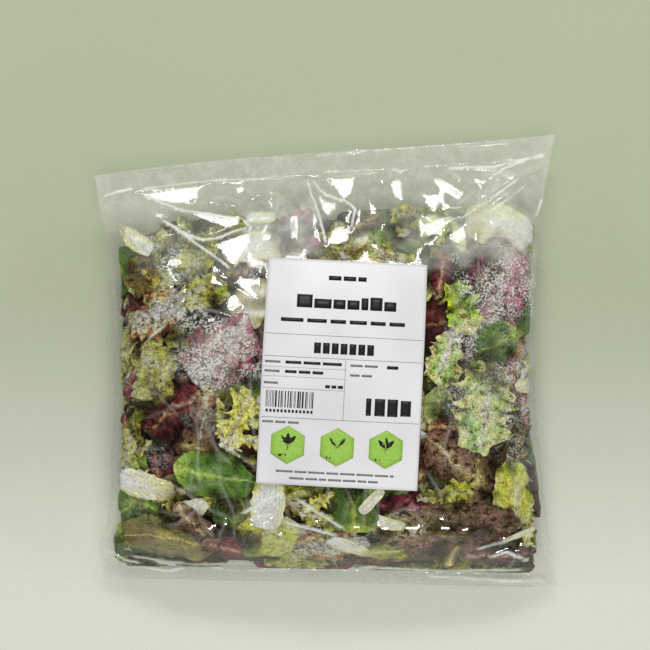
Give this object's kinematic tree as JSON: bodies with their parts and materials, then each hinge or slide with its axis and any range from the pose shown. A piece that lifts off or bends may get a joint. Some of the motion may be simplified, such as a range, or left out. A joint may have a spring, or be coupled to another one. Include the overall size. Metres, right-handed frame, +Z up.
{
  "type": "bag of salad leaves",
  "caption": "Clear pillow bag of mixed salad leaves, lying on its back, sealed at both ends, with a paper label on its front.",
  "frame": {"origin": "centre of the bounding box's bottom, on the surface that the bag lies on", "axes": "+Z up, out of the labelled front of the bag; +Y towards the bag's top seal; +X to the right when the label is looked at"},
  "size_m": [0.28, 0.2746, 0.0642],
  "materials": {
    "bag": "clear glossy film, misted inside, over green, pale and purple leaves",
    "label": "smooth white paper with plain printed bars and fields"
  },
  "bodies": {
    "root": {"bag": "bag", "label": "label"}
  },
  "joints": []
}
